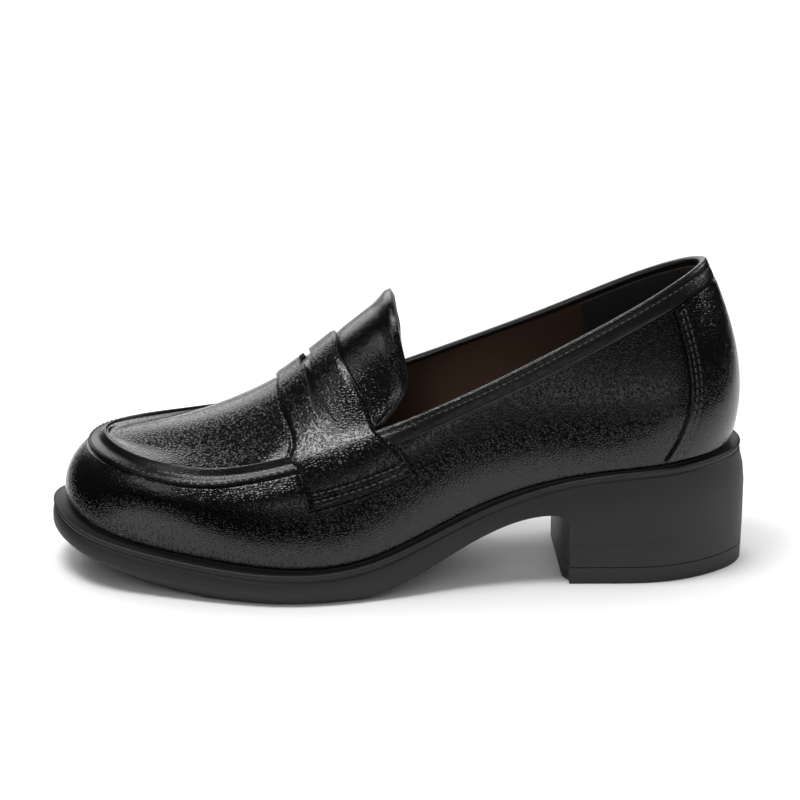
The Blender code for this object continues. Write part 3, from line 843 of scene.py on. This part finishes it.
def make_border():
    """Apron border: a band that rises from its stitched seam to a crest, and falls to the plug.

    Its profile is carried round the toe, and sinks to 55% where the strap covers its ends.
    """
    across, height = columns(BORDER_PROFILE)
    level = SHOULDER_LEVEL + across * 0.995
    end = loop_angle(strap_front(level) + 1.5 * MM / UPPER_LENGTH)
    share = np.linspace(-1, 1, 481)[:, None]
    angle = share * end
    tail = 1 - 0.45 * smooth(0.965, 1.0, np.abs(share))
    outer = lifted(angle, level + 0 * angle, (GAP + height * MM) * tail)
    inner = lifted(angle[:, ::-1], (level + 0 * angle)[:, ::-1], 0.1 * MM)
    sections = np.concatenate([outer, inner], axis=1)
    made = strip("apron_border_leather", sections, [edge_leather], "apron_border")


def make_collar_band():
    """Collar band: up the outside from its seam, rolled over the topline, and down inside."""
    profile = (
        # level, way up past it and way out of the wall in mm
        (2.00, 0.0, 0.25), (2.02, 0.0, 0.65), (2.08, 0.0, 0.95), (2.20, 0.0, 1.02),
        (2.40, 0.0, 1.00), (2.52, 0.0, 0.98), (2.60, 0.0, 0.88), (2.66, 0.0, 0.84),
        (2.72, 0.0, 0.90), (2.82, 0.0, 1.02), (2.92, 0.0, 1.00), (2.98, 0.10, 0.92),
        (2.98, 0.45, 0.62), (2.98, 0.72, 0.10), (2.98, 0.78, -0.60), (2.98, 0.70, -1.30),
        (2.98, 0.40, -1.85), (2.98, 0.00, -2.10), (2.90, 0.0, -2.15), (2.80, 0.0, -2.10),
        (2.80, 0.0, -1.70), (2.95, 0.0, -1.70), (2.98, 0.10, -0.90), (2.95, 0.0, 0.10),
        (2.40, 0.0, 0.10), (2.02, 0.0, 0.10),
    )
    level, along, out = columns(profile)
    start = loop_angle(strap_rear(level) - 1.5 * MM / UPPER_LENGTH)
    share = np.linspace(0, 1, 521)[:, None]
    angle = signed(start + (TURN - 2 * start) * share)
    sections = lifted(angle, level + 0 * angle, out * MM + 0 * angle, along * MM + 0 * angle)
    made = strip("collar_band_leather", sections, [edge_leather], "collar_band")


def make_counter():
    """Counter panel round the heel, its front edge rounded over."""
    levels = np.linspace(COUNTER_FRONT[0][0], COUNTER_FRONT[-1][0] + 0.03, 50)
    start = loop_angle(table_curve(COUNTER_FRONT, levels)[0])
    share = np.linspace(0, 1, 161)[:, None]
    angle = start + (TURN - 2 * start) * share
    from_end = np.minimum(share, 1 - share) * COUNTER_LENGTH
    rounding = 1 - np.clip(from_end / (0.9 * MM), 0, 1)
    height = COUNTER_THICKNESS * np.sqrt(np.clip(1 - rounding**2, 0, 1))
    for row in COUNTER_ROWS:
        height = height - 0.22 * MM * bump(from_end, row, 0.45 * MM)
    outer = lifted(signed(angle), levels + 0 * angle, GAP + np.maximum(height, 0) + 0 * angle)
    inner = lifted(signed(angle), levels + 0 * angle, 0.1 * MM)
    rows, cols = outer.shape[:2]
    outside = grid_faces(rows, cols)
    base = rows * cols
    row, col = np.arange(rows), np.arange(cols)
    rim = []
    for edge in (col, (rows - 1) * cols + col[::-1], row[::-1] * cols, row * cols + cols - 1):
        rim.append(np.stack([edge[:-1], edge[1:], edge[1:] + base, edge[:-1] + base], axis=-1))
    faces = np.concatenate([outside, outside[:, ::-1] + base, *rim])
    points = np.concatenate([outer.reshape(-1, 3), inner.reshape(-1, 3)])
    made = piece("counter_leather", [(points, faces)], [leather], "counter_panel", sharp=60)


def make_insole():
    """Sock on the insole board, slightly dished."""
    angle = signed(np.arange(240) * TURN / 240)
    feather = feather_line(angle)
    loops = [raised(beside(feather, -(WALL + 2 * GAP)), feather[:, 2])]
    for inset, drop in ((0.0, 0.6), (0.4, 0.1), (1.2, 0.0)):
        loop = beside(feather, -(WALL + 2 * GAP + inset * MM))
        loops.append(raised(loop, feather[:, 2] + INSOLE_THICKNESS - drop * MM))
    made = loft("insole_sock", loops, [lining], "insole")


def loft(name, loops, finishes, node=None, sharp=60):
    """Closed solid through loops round the shoe, capped across by quads."""
    points = np.stack(loops, axis=1)
    count, cols = points.shape[:2]
    near = np.arange(1, count // 2 - 1)
    cap = np.stack([near, -near, -near - 1, near + 1], axis=-1) % count
    cap = [[0, count - 1, 1], *cap.tolist(), [count // 2 - 1, count // 2 + 1, count // 2]]
    caps = []
    for corners in cap:
        caps.append([corner * cols for corner in corners])
        caps.append([corner * cols + cols - 1 for corner in reversed(corners)])
    return piece(name, [(points, grid_faces(count, cols, closed=True))], finishes, node, sharp, caps)


def sole_body(name, node):
    """The moulded sole as if solid down to the floor, before the arch is cut.

    Loops round the feather line climb from the tread by the step, groove and rim bead to the seat.
    """
    steps = 360
    angle = signed(np.arange(steps) * TURN / steps)
    station = (1 - np.cos(angle)) / 2
    feather = feather_line(angle)
    keys, *shares = columns(SOLE)
    rim, band, foot = [
        loop_spline(keys, value * BALL_WIDTH / 2, odd=False)(angle) for value in shares[:3]
    ]
    floor = np.maximum(loop_spline(keys, shares[3] * TOE_SPRING, odd=False)(angle), 0)
    floor = np.where(station > 0.2, 0, floor)
    front = np.clip((STEP_FADE[1] - station) / (STEP_FADE[1] - STEP_FADE[0]), 0, 1)
    seat = feather[:, 2] - GAP
    top = feather[:, 2] - RIM_DROP
    side = top - floor
    step_height = floor + STEP_SHARE * side

    def ring(out, height):
        return raised(beside(feather, out), height)

    loops = [ring(foot - TREAD_INSET * front, floor)]
    loops.append(ring(foot - 0.9 * MM * front, floor + EDGE_HEIGHT * 0.45 * front))
    loops.append(ring(foot - 0.15 * MM * front, floor + EDGE_HEIGHT * 0.9 * front))
    low_out = band - SIDE_STEP * front - (band - foot) * 0.30 * (1 - front)
    foot_height = floor + EDGE_HEIGHT * front
    for t in np.linspace(0.08, 0.92, 6):
        out = foot + (low_out - foot) * np.sin(t * np.pi / 2)
        loops.append(ring(out, foot_height + (step_height - foot_height) * t))
    band_out = band - (band - foot) * 0.25 * (1 - front)
    loops.append(ring(low_out, step_height - 0.35 * MM))
    loops.append(ring(low_out + 0.05 * MM * front, step_height - 0.1 * MM))
    loops.append(ring(band_out - 0.12 * MM * front, step_height))
    loops.append(ring(band_out, step_height + 0.25 * MM))
    groove = top - RIM_BEAD - RIM_GROOVE
    for t in (0.25, 0.5, 0.75, 0.9):
        swell = (band - band_out) * np.sin(t * np.pi / 2)
        out = band_out + swell + (rim - 0.1 * MM - band) * smooth(0.6, 1.0, t)
        loops.append(ring(out, step_height + (groove - 0.6 * MM - step_height) * t))
    loops.append(ring(rim - 0.25 * MM, groove - 0.35 * MM))
    loops.append(ring(rim - RIM_GROOVE * 0.9, groove - 0.08 * MM))
    loops.append(ring(rim - RIM_GROOVE, groove + 0.12 * MM))
    bead = RIM_BEAD / 2
    for turn in np.radians(np.linspace(-70, 130, 9)):
        loops.append(ring(rim - bead + bead * np.cos(turn), top - bead + bead * np.sin(turn)))
    loops.append(ring(rim - 2.4 * bead, top - 0.25 * MM))
    loops.append(ring(GUTTER_INSET * 0.1, top - 0.3 * MM))
    loops.append(ring(-GUTTER_INSET * 0.9, top - 0.1 * MM))
    loops.append(ring(-GUTTER_INSET, seat))
    return loft(name, loops, [rubber], node, sharp=38)


def box(name, low, high):
    low, high = Vector(low), Vector(high)
    place = Matrix.LocRotScale((low + high) / 2, None, high - low)
    mesh = bpy.data.meshes.new(name)
    work = bmesh.new()
    bmesh.ops.create_cube(work, size=1, matrix=place)
    work.to_mesh(mesh)
    work.free()
    made = bpy.data.objects.new(name, mesh)
    bpy.context.scene.collection.objects.link(made)
    return made


def arch_cutter():
    """The hollow between forefoot and heel, wider towards both sides."""
    below = -0.006
    end = BREAST - BREAST_RADIUS
    run = np.linspace(0, 1, 60)[:, None]
    turn = np.linspace(np.pi / 2, 0, 14)[1:, None]
    half = BALL_WIDTH / 2

    def section(y, bevel):
        rise = ARCH_HEIGHT * run**2 * (3 - 2 * run) - bevel
        arch = np.hstack([ARCH_START + (end - ARCH_START) * run, run * 0 + y, rise])
        radius = BREAST_RADIUS - bevel
        centre = ARCH_HEIGHT - BREAST_RADIUS
        fillet = np.hstack([end + radius * np.cos(turn), turn * 0 + y, centre + radius * np.sin(turn)])
        foot = np.array([[end + radius, y, below]])
        return np.vstack([[[ARCH_START, y, below]], arch, fillet, foot])

    places = (
        # share of half the ball's width, how far the arch is lowered there
        (-1.4, 0.0), (-0.62, 0.0), (-0.5, UNDER_BEVEL), (0.5, UNDER_BEVEL), (0.62, 0.0), (1.4, 0.0),
    )
    points = np.stack([section(share * half, bevel) for share, bevel in places]) + SHIFT
    rows, cols = points.shape[:2]
    caps = [list(range(cols))[::-1], list(range((rows - 1) * cols, rows * cols))]
    mesh = bpy.data.meshes.new("arch_cutter")
    faces = grid_faces(rows, cols, ring=True).tolist() + caps
    mesh.from_pydata(points.reshape(-1, 3).tolist(), [], faces)
    work = bmesh.new()
    work.from_mesh(mesh)
    bmesh.ops.recalc_face_normals(work, faces=work.faces)
    work.to_mesh(mesh)
    work.free()
    made = bpy.data.objects.new("arch_cutter", mesh)
    bpy.context.scene.collection.objects.link(made)
    return made


def apply_cuts(made, cuts):
    """Cuts a solid and keeps the result as its mesh, so that no cutter is left."""
    for cutter, operation in cuts:
        boolean = made.modifiers.new("Cut", "BOOLEAN")
        boolean.operation = operation
        boolean.object = cutter
    graph = bpy.context.evaluated_depsgraph_get()
    result = bpy.data.meshes.new_from_object(made.evaluated_get(graph))
    made.modifiers.clear()
    made.data = result
    result.shade_smooth()
    result.set_sharp_from_angle(angle=np.radians(38))


def make_sole():
    """Sole unit with its moulded heel, and the heel's top piece under it."""
    arch = arch_cutter()
    reach = UPPER_LENGTH
    behind = BREAST - 0.02
    relief = box("relief", (behind, -reach, -0.01), (reach, reach, TOP_PIECE_HEIGHT + GAP))
    slab = box("slab", (behind, -reach, -0.01), (reach, reach, TOP_PIECE_HEIGHT))
    sole = sole_body("sole_rubber", "sole_unit")
    top_piece = sole_body("top_piece_rubber", "heel_top_piece")
    apply_cuts(sole, [(arch, "DIFFERENCE"), (relief, "DIFFERENCE")])
    apply_cuts(top_piece, [(arch, "DIFFERENCE"), (slab, "INTERSECT")])
    for cutter in (arch, relief, slab):
        bpy.data.objects.remove(cutter)


def skin_row(angle, level, out):
    """Path on the leather and the way out of it, for a row of stitches."""
    normal, _ = local_axes(angle, level)
    return lifted(angle, level, out), normal


def make_stitches():
    """All visible sewing: border seam, collar, counter, strap ends and tongue."""
    rows = []
    end = loop_angle(strap_front(np.array([BORDER_ROW_LEVEL]))[0] - 0.002)
    rows.append(skin_row(np.linspace(-1, 1, 600) * end, BORDER_ROW_LEVEL, GAP + 0.80 * MM))
    start = loop_angle(strap_rear(np.array([COLLAR_ROW_LEVEL]))[0] + 0.004)
    angle = signed(np.linspace(start, TURN - start, 900))
    rows.append(skin_row(angle, COLLAR_ROW_LEVEL, 0.86 * MM))
    for inset in COUNTER_ROWS:
        level = np.linspace(0.12, 1.95, 200)
        for side in (1, -1):
            first = loop_angle(table_curve(COUNTER_FRONT, level)[0])
            shift = inset / COUNTER_LENGTH * (TURN - 2 * first)
            rows.append(skin_row(side * (first + shift), level, GAP + COUNTER_THICKNESS - 0.2 * MM))
    for lift in FOOT_ROWS:
        share = np.linspace(0.05, 0.95, 120)
        low = strap_foot(share) + lift / FOOT_LEVEL_STEP
        station = strap_front(low) * (1 - share) + strap_rear(low) * share
        for side in (1, -1):
            rows.append(skin_row(side * loop_angle(station), low, GAP + STRAP_THICKNESS - 0.20 * MM))
    level = np.linspace(3.10, 4.0, 240)
    station = tongue_rear(level) - TONGUE_ROW / UPPER_LENGTH
    for side in (1, -1):
        rows.append(skin_row(side * loop_angle(station), level, 0.02 * MM))
    made = stitches("sewing_thread", rows, thread)


def make_heel_grip():
    """Soft grip inside the heel, with its vertical front edges."""
    level = np.linspace(0.3, 2.72, 60)
    start = loop_angle(np.full_like(level, HEEL_GRIP_STATION))
    share = np.linspace(0, 1, 161)[:, None]
    angle = signed(start + (TURN - 2 * start) * share)
    inner = lifted(angle, level + 0 * angle, -(WALL + 0.25 * MM))
    made = piece("heel_grip", [(inner, grid_faces(*inner.shape[:2]))], [suede])
    thicken(made, 0.5 * MM)


def flat(name, outline, height, finish):
    """A flat polygon of the studio, lying at a height above the floor."""
    mesh = bpy.data.meshes.new(name)
    mesh.from_pydata([(x, y, height) for x, y in outline], [], [list(range(len(outline)))])
    mesh.materials.append(finish)
    made = bpy.data.objects.new(name, mesh)
    bpy.context.scene.collection.objects.link(made)
    return made


def make_floor():
    """White floor, and black cards beside the shoe that only its reflections see."""
    paper, _, _ = new_material("white_paper", (0.92, 0.92, 0.92), 0.9, 0.1)
    reach = 6.0
    flat("floor", [(-reach, -reach), (reach, -reach), (reach, reach), (-reach, reach)], 0, paper)
    black, _, _ = new_material("black_card", (0.002, 0.002, 0.002), 1.0, 0.0)
    front = [
        (-1.1, 3.0), (-0.20, 0.20), (-0.165, -0.01), (-0.152, -0.050), (-0.118, -0.061),
        (-0.08, -0.067), (-0.04, -0.084), (0.045, -0.105), (0.10, -0.17), (0.30, -0.42),
        (3.0, -3.0), (-3.0, -3.0), (-3.0, 3.0),
    ]
    side = [(0.38, -0.48), (3.0, -3.0), (3.0, 3.0), (0.38, 3.0)]
    for name, outline in (("front_card", front[::-1]), ("side_card", side)):
        card = flat(name, outline, 0.001, black)
        card.visible_camera = False
        card.visible_diffuse = False
        card.visible_shadow = False


def make_lights():
    """Soft boxes placed by direction from the shoe, the front of the photo at -90 degrees.

    The key hangs high over the toe's side, the back one is a wall of light. The low key and the
    rim only show in gloss, the overhead and the fill only in matt surfaces.
    """
    middle = Vector((0, 0, 0.05))
    boxes = (
        # name, azimuth, elevation, distance, width, height, radiance, lights gloss, lights the rest
        ("key", -142, 71, 1.25, 0.42, 0.42, 14.0, True, True),
        ("back", 98, 24, 1.25, 1.20, 0.66, 2.6, True, True),
        ("front", -78, 14, 1.60, 1.45, 0.30, 1.30, True, True),
        ("low_key", -155, 36, 1.25, 0.56, 0.28, 2.8, True, False),
        ("rim", 12, 40, 1.25, 0.40, 0.46, 9.0, True, False),
        ("overhead", 90, 80, 1.90, 3.00, 2.20, 2.0, False, True),
        ("fill", -90, 35, 1.90, 2.40, 1.20, 1.2, False, True),
    )
    for name, azimuth, elevation, distance, width, height, radiance, glossy, diffuse in boxes:
        turn, up = np.radians(azimuth), np.radians(elevation)
        away = Vector((np.cos(up) * np.cos(turn), np.cos(up) * np.sin(turn), np.sin(up)))
        light = bpy.data.lights.new(name, "AREA")
        light.shape = "RECTANGLE"
        light.size, light.size_y = width, height
        light.energy = radiance * np.pi * width * height
        lamp = bpy.data.objects.new(name, light)
        lamp.location = middle + away * distance
        lamp.rotation_euler = (-away).to_track_quat("-Z", "Y").to_euler()
        lamp.visible_camera = False
        lamp.visible_glossy = glossy
        lamp.visible_diffuse = diffuse
        bpy.context.scene.collection.objects.link(lamp)


def make_world():
    """White to the camera, nearly dark to everything else."""
    world = bpy.data.worlds.new("studio")
    bpy.context.scene.world = world
    world.use_nodes = True
    nodes, links = world.node_tree.nodes, world.node_tree.links
    background = nodes["Background"]
    background.inputs["Color"].default_value = (1, 1, 1, 1)
    background.inputs["Strength"].default_value = 0.04
    white = nodes.new("ShaderNodeBackground")
    white.inputs["Strength"].default_value = 1.0
    path = nodes.new("ShaderNodeLightPath")
    mix = nodes.new("ShaderNodeMixShader")
    links.new(path.outputs["Is Camera Ray"], mix.inputs["Fac"])
    links.new(background.outputs[0], mix.inputs[1])
    links.new(white.outputs[0], mix.inputs[2])
    links.new(mix.outputs[0], nodes["World Output"].inputs["Surface"])
    bpy.context.scene.view_settings.view_transform = "Standard"


def make_camera():
    """Camera 1.3 m away, 18.5 degrees up and turned 3 degrees towards the toe."""
    distance, up_angle, turn = 1.300, np.radians(18.5), np.radians(3.0)
    pixels_per_metre = 2760.0
    aim = Vector((0, 0, 0.049)) + Vector(SHIFT)
    aim_pixel = (397.0, 431.0)
    image = 800
    level_part = np.cos(up_angle)
    ahead = Vector((np.sin(turn) * level_part, np.cos(turn) * level_part, -np.sin(up_angle)))
    camera = bpy.data.cameras.new("camera")
    camera.sensor_width = 36
    camera.lens = pixels_per_metre * distance / image * camera.sensor_width
    camera.shift_x = (image / 2 - aim_pixel[0]) / image
    camera.shift_y = (aim_pixel[1] - image / 2) / image
    camera.clip_end = 20
    holder = bpy.data.objects.new("camera", camera)
    holder.location = aim - ahead * distance
    holder.rotation_euler = ahead.to_track_quat("-Z", "Y").to_euler()
    bpy.context.scene.collection.objects.link(holder)
    bpy.context.scene.camera = holder


def frame_shift():
    """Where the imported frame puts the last: its sole's box against the same sole drawn here."""
    angle = signed(np.arange(720) * TURN / 720)
    keys, _, band, foot, _ = columns(SOLE)
    widest = loop_spline(keys, band * BALL_WIDTH / 2, odd=False)(angle)
    loop = beside(feather_line(angle), widest)
    low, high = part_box("sole_unit")
    middle = (loop.min(axis=0) + loop.max(axis=0)) / 2
    packed = (np.array(low) + np.array(high)) / 2
    return np.array([packed[0] - middle[0], packed[1] - middle[1], 0.0])


SHIFT = frame_shift()
make_camera()
make_floor()
make_lights()
make_world()
make_upper()
make_tongue()
make_strap()
make_border()
make_collar_band()
make_counter()
make_insole()
make_heel_grip()
make_sole()
make_stitches()
